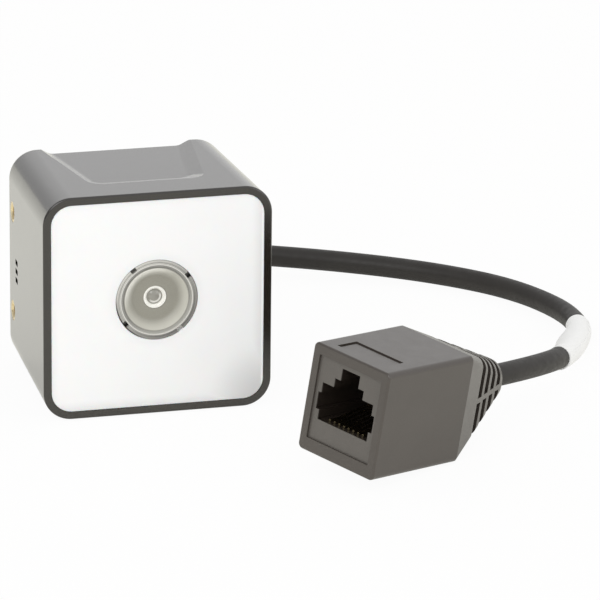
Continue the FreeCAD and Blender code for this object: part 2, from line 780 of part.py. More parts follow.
def route_edges(points, most=math.inf):
    """Rounds a route of straight runs with tangent arcs as large as the runs allow.

    No arc starts further than the given most from its corner.
    Returns the edges in order and the radius at each inner point.
    """
    edges = []
    radii = []
    begin = points[0]
    for before, corner, after in zip(points, points[1:], points[2:]):
        inward = (corner - before).normalize()
        outward = (after - corner).normalize()
        share = min(most, ARC_SHARE * min((corner - before).Length, (after - corner).Length))
        half_turn = inward.getAngle(outward) / 2
        radius = share / math.tan(half_turn)
        arc_start = corner - inward * share
        arc_end = corner + outward * share
        towards_centre = (outward - inward).normalize()
        middle = corner + towards_centre * (radius / math.cos(half_turn) - radius)
        edges.append(Part.LineSegment(begin, arc_start).toShape())
        edges.append(Part.Arc(arc_start, middle, arc_end).toShape())
        radii.append(radius)
        begin = arc_end
    edges.append(Part.LineSegment(begin, points[-1]).toShape())
    return edges, radii


def swept(edges, radius):
    """Sweeps a round section along a route."""
    first = edges[0]
    start = first.valueAt(first.FirstParameter)
    section = Part.Wire(Part.makeCircle(radius, start, first.tangentAt(first.FirstParameter)))
    return Part.Wire(edges).makePipeShell([section], True, False)


def stretch(edges, begin, length):
    """Takes the part of a route from a distance along it, for a length."""
    taken = []
    passed = 0.0
    for edge in edges:
        low = max(begin - passed, 0.0)
        high = min(begin + length - passed, edge.Length)
        if high - low > NEAR:
            first = edge.getParameterByLength(low)
            last = edge.getParameterByLength(high)
            taken.append(edge.Curve.toShape(first, last))
        passed += edge.Length
    return taken


def cable_points():
    """Lists the route from the grommet's nose to the tip of the strain relief."""
    nose = Vector(0, y_at(DEPTH + GROMMET_REACH), GROMMET_Z)
    jack = jack_placement()
    tip = jack.multVec(Vector(0, relief_tip_y(), relief_z(1)))
    lead_in = jack.multVec(Vector(0, relief_tip_y() + CABLE_JACK_RUN, relief_z(1)))
    return [nose, *CABLE_ROUTE, lead_in, tip]


def cable():
    """Sweeps the cable and prints how its route bends."""
    edges, radii = route_edges(cable_points())
    tube = swept(edges, CABLE_RADIUS)
    length = sum(edge.Length for edge in edges)
    section = math.pi * CABLE_RADIUS ** 2
    print("cable radii", [round(radius, 1) for radius in radii])
    print("cable length", round(length, 1), "volume ratio", round(tube.Volume / (section * length), 4))
    return tube


def cable_label():
    """Wraps the paper label round a stretch of the cable."""
    edges = stretch(route_edges(cable_points())[0], LABEL_START, LABEL_LENGTH)
    return swept(edges, CABLE_RADIUS + LABEL_THICK).cut(swept(edges, CABLE_RADIUS))


def pieces():
    """Builds every piece of the scan engine under its own name."""
    return {
        "housing": housing(),
        "front_diffuser": front_diffuser(),
        "window_ring": window_ring(),
        "lens_dish": lens_dish(),
        "lens_retainer": lens_retainer(),
        "front_lens": front_lens(),
        "lens_barrel": lens_barrel(),
        "lens_holder": lens_holder(),
        "image_sensor": image_sensor(),
        "imager_board": circuit_board(IMAGER_BOARD),
        "led_board": led_board(),
        "illumination_leds": illumination_leds(),
        "front_spacers": spacers(LED_BOARD[1], IMAGER_BOARD[0]),
        "rear_spacers": spacers(IMAGER_BOARD[1], DECODER_BOARD[0]),
        "decoder_board": circuit_board(DECODER_BOARD),
        "decoder_chip": chip(CHIP_SIZE, CHIP_PLACE),
        "memory_chip": chip(MEMORY_SIZE, MEMORY_PLACE),
        "flex_connectors": flex_connectors(),
        "imager_flex": imager_flex(),
        "buzzer": buzzer(),
        "stack_screws": stack_screws(),
        "cable_header": cable_header(),
        "cable_plug": cable_plug(),
        "cable_leads": cable_leads(),
        "cable_grommet": cable_grommet(),
        "side_inserts": side_inserts(),
        "cable": cable(),
        "cable_label": cable_label(),
        "jack_shell": jack_shell(),
        "jack_insert": jack_insert(),
        "jack_contacts": jack_contacts(),
    }


os.makedirs("parts", exist_ok=True)
for name, shape in pieces().items():
    shape.exportStep(os.path.join("parts", name + ".step"))
    lowest = round(shape.BoundBox.ZMin, 3)
    print(name, "solids", len(shape.Solids), "valid", shape.isValid(), "lowest", lowest)
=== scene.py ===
"""Looks of the barcode scan engine: finishes, cable and label, threads, and the studio round them."""

import logging
import math
from collections.abc import Callable
from dataclasses import dataclass
from enum import Enum
from functools import cache

import bpy
from mathutils import Euler, Matrix, Vector


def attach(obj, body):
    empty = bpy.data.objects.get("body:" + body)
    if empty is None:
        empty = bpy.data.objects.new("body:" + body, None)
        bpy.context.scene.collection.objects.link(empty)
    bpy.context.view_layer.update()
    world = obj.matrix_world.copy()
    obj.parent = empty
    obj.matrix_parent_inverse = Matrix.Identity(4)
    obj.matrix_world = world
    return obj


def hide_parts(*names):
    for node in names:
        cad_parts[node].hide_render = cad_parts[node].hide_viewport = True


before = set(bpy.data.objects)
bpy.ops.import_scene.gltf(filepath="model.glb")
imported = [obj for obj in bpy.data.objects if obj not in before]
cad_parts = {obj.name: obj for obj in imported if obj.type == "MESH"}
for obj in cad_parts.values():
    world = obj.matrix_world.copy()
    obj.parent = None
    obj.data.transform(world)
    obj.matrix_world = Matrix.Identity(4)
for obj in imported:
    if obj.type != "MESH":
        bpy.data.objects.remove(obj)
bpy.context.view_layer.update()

BODY = "root"
MM = 0.001

LOG = logging.getLogger("scan_engine")

Colour = tuple[float, float, float]
Place = tuple[float, float, float]
Pair = tuple[float, float]
Socket = bpy.types.NodeSocket
Piece = bpy.types.Object

# Sockets of the mix node for a share and two colours, and its colour output
MIX_SHARE, MIX_FIRST, MIX_SECOND, MIX_COLOUR = 0, 6, 7, 2
# Where the noise texture's values mostly lie
NOISE_REACH = (0.3, 0.7)
# The length of one wave of the wave texture at scale 1
WAVE_LENGTH = math.pi / 10


class Grain(Enum):
    """How a surface was textured: the size and the depth of its grain, in millimetres."""

    POLISHED = (0.9, 0.0008)
    FINE = (0.10, 0.0002)
    SATIN = (0.30, 0.0025)
    MATT = (0.24, 0.0060)
    RUBBERY = (0.38, 0.0090)


class Recipe:
    """The node tree of one material, built up towards the shader at its end."""

    def __init__(self, name: str) -> None:
        """Starts a material with its shader and its place on the object.

        Args:
            name: The material's name.
        """
        self.material = bpy.data.materials.new(name)
        self.material.use_nodes = True
        self.tree = self.material.node_tree
        self.shader = self.tree.nodes["Principled BSDF"]
        self.place = self.node("ShaderNodeTexCoord").outputs["Object"]

    def node(self, kind: str, inputs: dict | None = None, **settings: object) -> bpy.types.Node:
        """Adds a node.

        Args:
            kind: The node's type.
            inputs: Values or sockets for its inputs, by name or number.
            **settings: Its other properties.

        Returns:
            The new node.
        """
        made = self.tree.nodes.new(kind)
        for key, value in settings.items():
            setattr(made, key, value)
        for key, value in (inputs or {}).items():
            self.feed(made.inputs[key], value)
        return made

    def feed(self, socket: Socket, value: object) -> None:
        """Sets an input to a value, or links another node's output to it.

        Args:
            socket: The input.
            value: A number, a colour or an output.
        """
        if isinstance(value, Socket):
            self.tree.links.new(value, socket)
        elif socket.type == "RGBA" and len(value) == 3:
            socket.default_value = (*value, 1.0)
        else:
            socket.default_value = value

    def shade(self, **inputs: object) -> None:
        """Feeds the shader, with its inputs named in lower case and underscores."""
        for key, value in inputs.items():
            self.feed(self.shader.inputs[SHADER_INPUTS[key]], value)

    def noise(self, size: float, detail: float = 2.0) -> Socket:
        """Adds soft noise.

        Args:
            size: The size of its spots in millimetres.
            detail: How many finer layers it has.

        Returns:
            Its output, mostly within NOISE_REACH.
        """
        inputs = {"Vector": self.place, "Scale": 1 / (size * MM), "Detail": detail}
        return self.node("ShaderNodeTexNoise", inputs).outputs["Fac"]

    def spread(self, source: Socket, low: float, high: float,
               reach: Pair = NOISE_REACH, smooth: bool = False) -> Socket:
        """Maps a reach of a value to another, and holds it at the ends.

        Args:
            source: The value.
            low: What the reach's start becomes.
            high: What the reach's end becomes.
            reach: The start and end of the value.
            smooth: Whether the change eases in and out.

        Returns:
            The mapped value.
        """
        inputs = {"Value": source, "From Min": reach[0], "From Max": reach[1], "To Min": low, "To Max": high}
        kind = "SMOOTHSTEP" if smooth else "LINEAR"
        return self.node("ShaderNodeMapRange", inputs, interpolation_type=kind).outputs["Result"]

    def blend(self, share: Socket, first: object, second: object) -> Socket:
        """Mixes two colours.

        Args:
            share: How much of the second shows.
            first: A colour or an output.
            second: A colour or an output.

        Returns:
            The mixed colour.
        """
        inputs = {MIX_SHARE: share, MIX_FIRST: first, MIX_SECOND: second}
        return self.node("ShaderNodeMix", inputs, data_type="RGBA").outputs[MIX_COLOUR]

    def scaled(self, colour: Socket, share: Socket) -> Socket:
        """Makes a colour lighter or darker by a share."""
        scaling = self.node("ShaderNodeVectorMath", {0: colour, "Scale": share}, operation="SCALE")
        return scaling.outputs["Vector"]

    def sum(self, first: object, second: object, kind: str = "ADD") -> Socket:
        """Joins two values by a sum, or by another operation."""
        return self.node("ShaderNodeMath", {0: first, 1: second}, operation=kind).outputs[0]

    def along(self, axis: Place, start: float) -> Socket:
        """Measures the distance along a direction.

        Args:
            axis: The direction, of length 1.
            start: The distance from the origin at which it begins, in millimetres.

        Returns:
            The distance in millimetres.
        """
        return self.sum(self.sum(self.dot(self.place, axis), 1 / MM, "MULTIPLY"), start, "SUBTRACT")

    def dot(self, vector: Socket, axis: Place) -> Socket:
        """Gives how far a vector goes along a direction."""
        product = self.node("ShaderNodeVectorMath", {0: vector, 1: axis}, operation="DOT_PRODUCT")
        return product.outputs["Value"]

    def offset(self, x: float, z: float) -> Socket:
        """Gives the offset from an axis along Y.

        Args:
            x: The axis's x in millimetres.
            z: The axis's z in millimetres.

        Returns:
            The offset, in metres, with no part along Y.
        """
        inputs = {"Vector": self.place, "Location": (-x * MM, 0.0, -z * MM), "Scale": (1.0, 0.0, 1.0)}
        return self.node("ShaderNodeMapping", inputs).outputs["Vector"]

    def length(self, vector: Socket) -> Socket:
        """Gives a vector's length in millimetres."""
        metres = self.node("ShaderNodeVectorMath", {0: vector}, operation="LENGTH").outputs["Value"]
        return self.sum(metres, 1 / MM, "MULTIPLY")

    def relief(self, height: Socket, depth: float) -> None:
        """Raises the surface by a height, over any relief that it has already.

        Args:
            height: The height, from 0 to 1.
            depth: How deep that is, in millimetres.
        """
        inputs = {"Height": height, "Distance": depth * MM, "Strength": 1.0}
        earlier = self.shader.inputs["Normal"].links
        if earlier:
            inputs["Normal"] = earlier[0].from_socket
        self.feed(self.shader.inputs["Normal"], self.node("ShaderNodeBump", inputs).outputs["Normal"])

    def grain(self, grain: Grain) -> None:
        """Gives the surface the grain that its mould left."""
        size, depth = grain.value
        self.relief(self.noise(size, detail=3.0), depth)

    def mottled(self, colour: Colour, amount: float, size: float) -> Socket:
        """Lets a colour drift a little lighter and darker.

        Args:
            colour: The middle colour.
            amount: How far it drifts, as a share.
            size: The size of the patches in millimetres.

        Returns:
            The colour.
        """
        drift = self.spread(self.noise(size, detail=3.0), 0.0, 1.0)
        return self.blend(drift, shaded(colour, 1 - amount), shaded(colour, 1 + amount))


SHADER_INPUTS = {
    "colour": "Base Color",
    "metal": "Metallic",
    "roughness": "Roughness",
    "ior": "IOR",
    "specular": "Specular IOR Level",
    "transmission": "Transmission Weight",
    "coat": "Coat Weight",
    "coat_roughness": "Coat Roughness",
    "subsurface": "Subsurface Weight",
    "subsurface_scale": "Subsurface Scale",
}


def shaded(colour: Colour, share: float) -> Colour:
    """Gives a colour made darker or lighter by a share."""
    return tuple(min(part * share, 1.0) for part in colour)


@dataclass(frozen=True)
class MouldedPlastic:
    """Plastic from a mould: a drifting colour, uneven gloss and the mould's grain."""

    name: str
    colour: Colour
    roughness: float
    grain: Grain = Grain.SATIN
    drift: float = 0.05
    specular: float = 0.5
    coat: float = 0.0
    coat_roughness: float = 0.25
    gloss_drift: float = 0.03
    drift_size: float = 9.0
    speck: float = 0.06
    speck_size: float = 0.16
    gloss_size: float = 2.4

    def base(self, recipe: Recipe) -> Socket:
        """Gives the colour with its slow drift and its fine specks.

        Args:
            recipe: The material that asks.

        Returns:
            The colour.
        """
        slow = recipe.mottled(self.colour, self.drift, self.drift_size)
        specks = recipe.noise(self.speck_size, detail=1.0)
        return recipe.scaled(slow, recipe.spread(specks, 1 - self.speck, 1 + self.speck))

    def texture(self, recipe: Recipe) -> None:
        """Gives the surface its relief."""
        recipe.grain(self.grain)

    def make(self) -> bpy.types.Material:
        """Builds the material.

        Returns:
            The material.
        """
        recipe = Recipe(self.name)
        bright = self.roughness - self.gloss_drift
        dull = self.roughness + self.gloss_drift
        gloss = recipe.spread(recipe.noise(self.gloss_size, detail=4.0), bright, dull)
        recipe.shade(colour=self.base(recipe), roughness=gloss, specular=self.specular)
        recipe.shade(coat=self.coat, coat_roughness=self.coat_roughness)
        self.texture(recipe)
        return recipe.material


@dataclass(frozen=True)
class SocketPlastic(MouldedPlastic):
    """The socket's plastic: grey on its face like the shell, with painted shade near black inside."""

    # Painted shade: near black deeper in the socket, past a reach along its axis.
    inside: Colour = (0.024, 0.018, 0.014)
    axis: Place = (0.83952, 0.53294, -0.10574)
    axis_start: float = -11.723
    painted_shade_reach: Pair = (0.50, 0.66)

    def base(self, recipe: Recipe) -> Socket:
        """Gives the face's colour, darkened to near black by painted shade deeper in the socket."""
        depth = recipe.spread(recipe.along(self.axis, self.axis_start), 0.0, 1.0, self.painted_shade_reach)
        return recipe.blend(depth, super().base(recipe), self.inside)


@dataclass(frozen=True)
class LensAxis:
    """The line through the lens, which the window's round pieces are turned about."""

    x: float = -0.2
    z: float = 19.5
    wobble: float = 0.6

    def away(self, recipe: Recipe) -> Socket:
        """Gives the offset from the axis."""
        return recipe.offset(self.x, self.z)

    def radius(self, recipe: Recipe) -> Socket:
        """Gives the distance from the axis in millimetres."""
        return recipe.length(self.away(recipe))

    def facing(self, recipe: Recipe, degrees: float) -> Socket:
        """Tells how far a place lies towards an angle round the axis.

        Args:
            recipe: The material that asks.
            degrees: The angle, from the right of the window upwards.

        Returns:
            1 at that angle, 0 a quarter turn from it and -1 across the axis.
        """
        turn = math.radians(degrees)
        inputs = {0: self.away(recipe)}
        unit = recipe.node("ShaderNodeVectorMath", inputs, operation="NORMALIZE").outputs["Vector"]
        return recipe.dot(unit, (math.cos(turn), 0.0, math.sin(turn)))

    def rings(self, recipe: Recipe, pitch: float) -> Socket:
        """Gives the height of the fine rings that a turned mould leaves.

        Args:
            recipe: The material that asks.
            pitch: The distance from ring to ring in millimetres.

        Returns:
            The height, from 0 to 1.
        """
        inputs = {"Vector": self.away(recipe), "Scale": WAVE_LENGTH / (pitch * MM), "Distortion": self.wobble}
        wave = recipe.node("ShaderNodeTexWave", inputs, wave_type="RINGS", rings_direction="Y")
        return wave.outputs["Fac"]


LENS_AXIS = LensAxis()


@dataclass(frozen=True)
class DiffuserSheet:
    """The white front panel: evenly bright, greyed a little by painted shade at its edges, window and one
    lower corner.
    """

    name: str = "diffuser_white"
    colour: Colour = (0.962, 0.965, 0.965)
    # The grey of the painted shade.
    edge: Colour = (0.55, 0.55, 0.55)
    half: float = 17.65
    middle_z: float = 18.9
    # Painted shade: strongest at the lower right corner, with a ring round the window and a band along each
    # edge.
    corner_reach: float = 11.5
    corner_grey: float = 0.75
    window_reach: Pair = (6.8, 8.6)
    window_grey: float = 0.12
    right_reach: float = 2.4
    right_grey: float = 0.32
    low_reach: float = 2.0
    low_grey: float = 0.28
    far_reach: float = 1.5
    far_grey: float = 0.10
    # A painted highlight: the shade gives way to a thin white line along the right edge, over these distances
    # in from it.
    line: Pair = (0.42, 0.30)

    def painted_shade(self, recipe: Recipe) -> Socket:
        """Tells how far the painted shade has greyed the panel.

        Args:
            recipe: The material that asks.

        Returns:
            0 where it is white, towards 1 as it gets as grey as its edge.
        """
        low = self.middle_z - self.half
        high = self.middle_z + self.half
        right = self.half
        across = recipe.along((1, 0, 0), 0.0)
        up = recipe.along((0, 0, 1), 0.0)
        # Painted shade: the lower right corner, the ring round the window and the bands along the edges; the
        # greyest wins.
        from_corner = recipe.length(recipe.offset(right, low))
        total = recipe.spread(from_corner, self.corner_grey, 0.0, (0.0, self.corner_reach), smooth=True)
        edges = (
            recipe.spread(LENS_AXIS.radius(recipe), self.window_grey, 0.0, self.window_reach, smooth=True),
            recipe.spread(across, 0.0, self.right_grey, (right - self.right_reach, right), smooth=True),
            recipe.spread(up, self.low_grey, 0.0, (low, low + self.low_reach), smooth=True),
            recipe.spread(across, self.far_grey, 0.0, (-right, self.far_reach - right), smooth=True),
            recipe.spread(up, 0.0, self.far_grey, (high - self.far_reach, high), smooth=True),
        )
        for edge in edges:
            total = recipe.sum(total, edge, "MAXIMUM")
        # A painted highlight: a thin white line along the right edge.
        line_start, line_full = self.line
        line = recipe.spread(across, 1.0, 0.0, (right - line_start, right - line_full))
        return recipe.sum(total, line, "MULTIPLY")

    def make(self) -> bpy.types.Material:
        """Builds the material.

        Returns:
            The material.
        """
        recipe = Recipe(self.name)
        lit = recipe.mottled(self.colour, amount=0.006, size=7.0)
        # The mottled white, greyed where the painted shade lies.
        recipe.shade(colour=recipe.blend(self.painted_shade(recipe), lit, self.edge))
        recipe.shade(subsurface=0.15, subsurface_scale=0.4 * MM, specular=0.35)
        recipe.shade(roughness=recipe.spread(recipe.noise(size=3.0), low=0.40, high=0.48))
        recipe.grain(Grain.MATT)
        return recipe.material


@dataclass(frozen=True)
class ClearPlastic:
    """The window's bezel: clear plastic with painted light, paler towards one side, with fine rings and four
    notches.
    """

    name: str = "clear_plastic"
    # Painted light and shade round the ring: pale on the lit side, dim across from it.
    pale: Colour = (0.72, 0.71, 0.66)
    dim: Colour = (0.235, 0.230, 0.214)
    painted_light_turn: float = 130.0
    # Painted light and shade in fine lines, ring by ring, which scale the colour.
    tone_pitch: float = 0.21
    tones: Pair = (0.72, 1.12)
    lip: Colour = (0.78, 0.77, 0.72)
    lip_end: Pair = (6.00, 6.10)
    # The dim step, made paler on one side by painted light.
    step: Colour = (0.36, 0.355, 0.33)
    pale_step: Colour = (0.46, 0.455, 0.42)
    step_turn: float = 300.0
    step_spread: Pair = (0.0, 0.9)
    step_end: Pair = (5.82, 5.90)
    # Painted shade: a dark band along the outer edge on one side.
    painted_shade_turn: float = 215.0
    dark_spread: Pair = (0.75, 0.97)
    dark_share: float = 0.9
    edge_start: Pair = (6.52, 6.70)
    # Painted shade: near black past this depth, in the notches and behind the panel; one notch is dim grey,
    # and a painted reflection makes another pale.
    inside: Colour = (0.012, 0.011, 0.010)
    painted_shade_depth: Pair = (-15.75, -15.60)
    notch_dim: Colour = (0.22, 0.21, 0.19)
    notch_painted_reflection: Colour = (0.95, 0.94, 0.90)
    notch_spread: Pair = (0.6, 0.9)
    ring_pitch: float = 0.42
    ring_depth: float = 0.006
    transmission: float = 0.10

    def base(self, recipe: Recipe) -> Socket:
        """Gives the colour: painted light pale to dim round the ring, a dim step, a pale lip, and the
        notches.

        Args:
            recipe: The material that asks.

        Returns:
            The colour.
        """
        radius = LENS_AXIS.radius(recipe)
        # Painted light and shade: pale on the lit side of the ring, dim across from it.
        facing = LENS_AXIS.facing(recipe, self.painted_light_turn)
        turn = recipe.spread(facing, 0.0, 1.0, (-1.0, 1.0))
        # Fine pale and dark lines of painted light and shade, ring by ring.
        lines = recipe.spread(LENS_AXIS.rings(recipe, self.tone_pitch), *self.tones, (0.0, 1.0))
        face = recipe.scaled(recipe.blend(turn, self.dim, self.pale), lines)
        face = recipe.blend(recipe.spread(radius, 1.0, 0.0, self.lip_end), face, self.lip)
        # Painted light: the step is paler on one side.
        step_side = LENS_AXIS.facing(recipe, self.step_turn)
        step_turn = recipe.spread(step_side, 0.0, 1.0, self.step_spread, smooth=True)
        step = recipe.blend(step_turn, self.step, self.pale_step)
        face = recipe.blend(recipe.spread(radius, 1.0, 0.0, self.step_end), face, step)
        # Painted shade along the outer edge on one side.
        dark_side = LENS_AXIS.facing(recipe, self.painted_shade_turn)
        edge = recipe.spread(dark_side, 0.0, self.dark_share, self.dark_spread, smooth=True)
        edge = recipe.sum(edge, recipe.spread(radius, 0.0, 1.0, self.edge_start), "MULTIPLY")
        face = recipe.blend(edge, face, self.inside)
        # Painted shade in the notches: near black, dim grey on the lit side, and pale with a painted
        # reflection across from it.
        depth = recipe.spread(recipe.along((0, 1, 0), 0.0), 0.0, 1.0, self.painted_shade_depth)
        start, full = self.notch_spread
        notch = recipe.blend(recipe.spread(facing, 0.0, 1.0, (start, full)), self.inside, self.notch_dim)
        notch = recipe.blend(recipe.spread(facing, 1.0, 0.0, (-full, -start)), notch, self.notch_painted_reflection)
        return recipe.blend(depth, face, notch)

    def make(self) -> bpy.types.Material:
        """Builds the material.

        Returns:
            The material.
        """
        recipe = Recipe(self.name)
        recipe.shade(colour=self.base(recipe), transmission=self.transmission, ior=1.49)
        recipe.shade(roughness=recipe.spread(recipe.noise(size=1.2), low=0.08, high=0.18))
        recipe.shade(coat=0.5, coat_roughness=0.06)
        recipe.relief(LENS_AXIS.rings(recipe, self.ring_pitch), self.ring_depth)
        return recipe.material


@dataclass(frozen=True)
class DishPlastic(MouldedPlastic):
    """The lens dish's plastic: paler up its wall in painted light, palest on one side, with the rings of its
    turned mould.
    """

    # Painted light: the wall grows paler up from the floor, palest on the lit side.
    wall: Colour = (0.57, 0.56, 0.495)
    pale: Colour = (0.98, 0.97, 0.90)
    lip: Colour = (0.33, 0.32, 0.285)
    wall_reach: Pair = (3.65, 5.0)
    lip_reach: Pair = (5.22, 5.34)
    painted_light_turn: float = 125.0
    pale_spread: Pair = (0.25, 0.95)
    ring_pitch: float = 0.32
    ring_depth: float = 0.0015

    def base(self, recipe: Recipe) -> Socket:
        """Gives the floor's colour, the wall's, paler in painted light and palest on one side, and the lip's.

        Args:
            recipe: The material that asks.

        Returns:
            The colour.
        """
        radius = LENS_AXIS.radius(recipe)
        facing = LENS_AXIS.facing(recipe, self.painted_light_turn)
        # Painted light up the wall, palest on the lit side.
        side = recipe.spread(facing, 0.0, 1.0, self.pale_spread, smooth=True)
        wall = recipe.blend(side, self.wall, self.pale)
        climb = recipe.spread(radius, 0.0, 1.0, self.wall_reach, smooth=True)
        bowl = recipe.blend(climb, super().base(recipe), wall)
        return recipe.blend(recipe.spread(radius, 0.0, 1.0, self.lip_reach), bowl, self.lip)

    def texture(self, recipe: Recipe) -> None:
        """Gives the surface its grain and its rings."""
        super().texture(recipe)
        recipe.relief(LENS_AXIS.rings(recipe, self.ring_pitch), self.ring_depth)


@dataclass(frozen=True)
class OpticalGlass:
    """The lens: clear grey glass with a faint haze."""

    name: str = "lens_glass"
    colour: Colour = (0.36, 0.35, 0.31)
    # A painted highlight: a pale crescent round the foot of the dome on one side.
    gleam: Colour = (0.94, 0.93, 0.89)
    gleam_reach: tuple[float, float, float, float] = (0.74, 0.86, 1.08, 1.20)
    gleam_turn: float = -55.0
    gleam_spread: Pair = (-0.1, 0.5)
    gleam_share: float = 0.95
    transmission: float = 0.15

    def base(self, recipe: Recipe) -> Socket:
        """Gives the colour, with a painted highlight along the foot of the dome on one side.

        Args:
            recipe: The material that asks.

        Returns:
            The colour.
        """
        radius = LENS_AXIS.radius(recipe)
        start, full, past, end = self.gleam_reach
        rise = recipe.spread(radius, 0.0, 1.0, (start, full), smooth=True)
        fall = recipe.spread(radius, 1.0, 0.0, (past, end), smooth=True)
        # Painted highlight on one side of the dome's foot.
        facing = LENS_AXIS.facing(recipe, self.gleam_turn)
        side = recipe.spread(facing, 0.0, self.gleam_share, self.gleam_spread, smooth=True)
        share = recipe.sum(recipe.sum(rise, fall, "MULTIPLY"), side, "MULTIPLY")
        return recipe.blend(share, recipe.mottled(self.colour, amount=0.04, size=0.8), self.gleam)

    def make(self) -> bpy.types.Material:
        """Builds the material.

        Returns:
            The material.
        """
        recipe = Recipe(self.name)
        recipe.shade(colour=self.base(recipe), transmission=self.transmission, ior=1.52)
        recipe.shade(roughness=recipe.spread(recipe.noise(size=0.5), low=0.02, high=0.06))
        recipe.shade(coat=0.6, coat_roughness=0.02)
        recipe.relief(recipe.noise(size=1.5, detail=0.0), depth=0.001)
        return recipe.material


@dataclass(frozen=True)
class BareMetal:
    """Plated or turned metal with a slight tarnish."""

    name: str
    colour: Colour
    tarnish: Colour
    roughness: float
    tarnish_share: float = 0.6
    gloss_drift: Pair = (-0.06, 0.08)

    def make(self) -> bpy.types.Material:
        """Builds the material.

        Returns:
            The material.
        """
        recipe = Recipe(self.name)
        patches = recipe.spread(recipe.noise(size=0.7, detail=4.0), 0.0, self.tarnish_share)
        recipe.shade(colour=recipe.blend(patches, self.colour, self.tarnish), metal=1.0)
        bright, dull = (self.roughness + drift for drift in self.gloss_drift)
        recipe.shade(roughness=recipe.spread(recipe.noise(size=0.25), bright, dull))
        recipe.relief(recipe.noise(size=0.12), depth=0.0015)
        return recipe.material


@dataclass(frozen=True)
class CableJacket:
    """The cable's jacket: dark, smooth and a little waxy."""

    name: str = "cable_black"
    colour: Colour = (0.0290, 0.0260, 0.0233)
    roughness: float = 0.48
    gloss_drift: float = 0.07

    def make(self) -> bpy.types.Material:
        """Builds the material.

        Returns:
            The material.
        """
        recipe = Recipe(self.name)
        recipe.shade(colour=recipe.mottled(self.colour, amount=0.12, size=5.0), specular=0.4)
        bright = self.roughness - self.gloss_drift
        dull = self.roughness + self.gloss_drift
        recipe.shade(roughness=recipe.spread(recipe.noise(size=1.1, detail=4.0), bright, dull))
        recipe.relief(recipe.noise(size=3.5, detail=1.0), depth=0.008)
        recipe.grain(Grain.SATIN)
        return recipe.material


@dataclass(frozen=True)
class LabelPaper:
    """White label paper with short fibres and a soft drift of tone."""

    name: str = "label_white"
    colour: Colour = (0.97, 0.97, 0.96)
    fibre: Colour = (0.95, 0.95, 0.935)
    fibre_reach: Pair = (0.42, 0.66)

    def make(self) -> bpy.types.Material:
        """Builds the material.

        Returns:
            The material.
        """
        recipe = Recipe(self.name)
        fibres = recipe.spread(recipe.noise(size=0.35, detail=6.0), 0.0, 1.0, self.fibre_reach)
        recipe.shade(colour=recipe.blend(fibres, self.colour, self.fibre), specular=0.4)
        recipe.shade(roughness=recipe.spread(recipe.noise(size=1.4, detail=3.0), low=0.48, high=0.62))
        recipe.relief(recipe.noise(size=0.2, detail=4.0), depth=0.005)
        recipe.relief(recipe.noise(size=2.6, detail=1.0), depth=0.03)
        return recipe.material


@dataclass(frozen=True)
class SolderMask:
    """A green circuit board: tracks under the mask, and the weave of the glass cloth."""

    name: str = "board_green"
    colour: Colour = (0.010, 0.085, 0.030)
    track: Colour = (0.030, 0.170, 0.060)
    pitch: float = 2.0
    track_width: float = 0.06
    track_blur: float = 0.2

    def make(self) -> bpy.types.Material:
        """Builds the material.

        Returns:
            The material.
        """
        recipe = Recipe(self.name)
        upright = (math.pi / 2, 0.0, 0.0)
        flat = recipe.node("ShaderNodeMapping", {"Vector": recipe.place, "Rotation": upright})
        inputs = {
            "Vector": flat.outputs["Vector"],
            "Scale": 1 / (self.pitch * MM),
            "Mortar Size": self.track_width,
            "Mortar Smooth": self.track_blur,
        }
        tracks = recipe.node("ShaderNodeTexBrick", inputs).outputs["Fac"]
        recipe.shade(colour=recipe.blend(tracks, self.colour, self.track), coat=0.4, coat_roughness=0.2)
        recipe.shade(roughness=recipe.spread(recipe.noise(size=1.5), low=0.28, high=0.40))
        recipe.relief(tracks, depth=0.02)
        recipe.relief(recipe.noise(size=0.5), depth=0.004)
        return recipe.material


@dataclass(frozen=True)
class FlexFilm:
    """The amber strip between two boards, with its copper lines."""

    name: str = "flex_amber"
    colour: Colour = (0.42, 0.17, 0.03)
    line: Colour = (0.62, 0.30, 0.10)
    pitch: float = 0.5

    def make(self) -> bpy.types.Material:
        """Builds the material.

        Returns:
            The material.
        """
        recipe = Recipe(self.name)
        inputs = {"Vector": recipe.place, "Scale": WAVE_LENGTH / (self.pitch * MM)}
        lines = recipe.node("ShaderNodeTexWave", inputs, bands_direction="X").outputs["Fac"]
        recipe.shade(colour=recipe.blend(lines, self.colour, self.line), coat=0.3)
        recipe.shade(roughness=recipe.spread(recipe.noise(size=1.0), low=0.24, high=0.34))
        recipe.relief(lines, depth=0.01)
        return recipe.material


Finish = (MouldedPlastic | DiffuserSheet | ClearPlastic | OpticalGlass | BareMetal | CableJacket | LabelPaper
          | SolderMask | FlexFilm)

HOUSING_GREY = MouldedPlastic(
    "housing_grey", (0.0115, 0.0084, 0.0056), 0.22, Grain.FINE,
    coat=1.0, coat_roughness=0.14, gloss_drift=0.012)
DISH_GREY = DishPlastic("dish_grey", (0.31, 0.30, 0.255), 0.40, Grain.POLISHED, 0.03)
CREAM_PLASTIC = MouldedPlastic("cream_plastic", (0.97, 0.96, 0.90), 0.35, Grain.POLISHED, 0.02)
BLACK_PLASTIC = MouldedPlastic("black_plastic", (0.018, 0.018, 0.019), 0.45, Grain.MATT)
LED_WHITE = MouldedPlastic("led_white", (0.84, 0.80, 0.58), 0.30, Grain.POLISHED, 0.06)
NYLON_WHITE = MouldedPlastic("nylon_white", (0.72, 0.71, 0.66), 0.45, Grain.SATIN)
LEAD_RED = MouldedPlastic("lead_red", (0.36, 0.03, 0.025), 0.38, Grain.POLISHED, 0.08)
RUBBER_BLACK = MouldedPlastic("rubber_black", (0.034, 0.032, 0.030), 0.50, Grain.RUBBERY, 0.08)
JACK_GREY = MouldedPlastic("jack_grey", (0.063, 0.0525, 0.0445), 0.36, Grain.MATT, 0.06, coat=0.55)
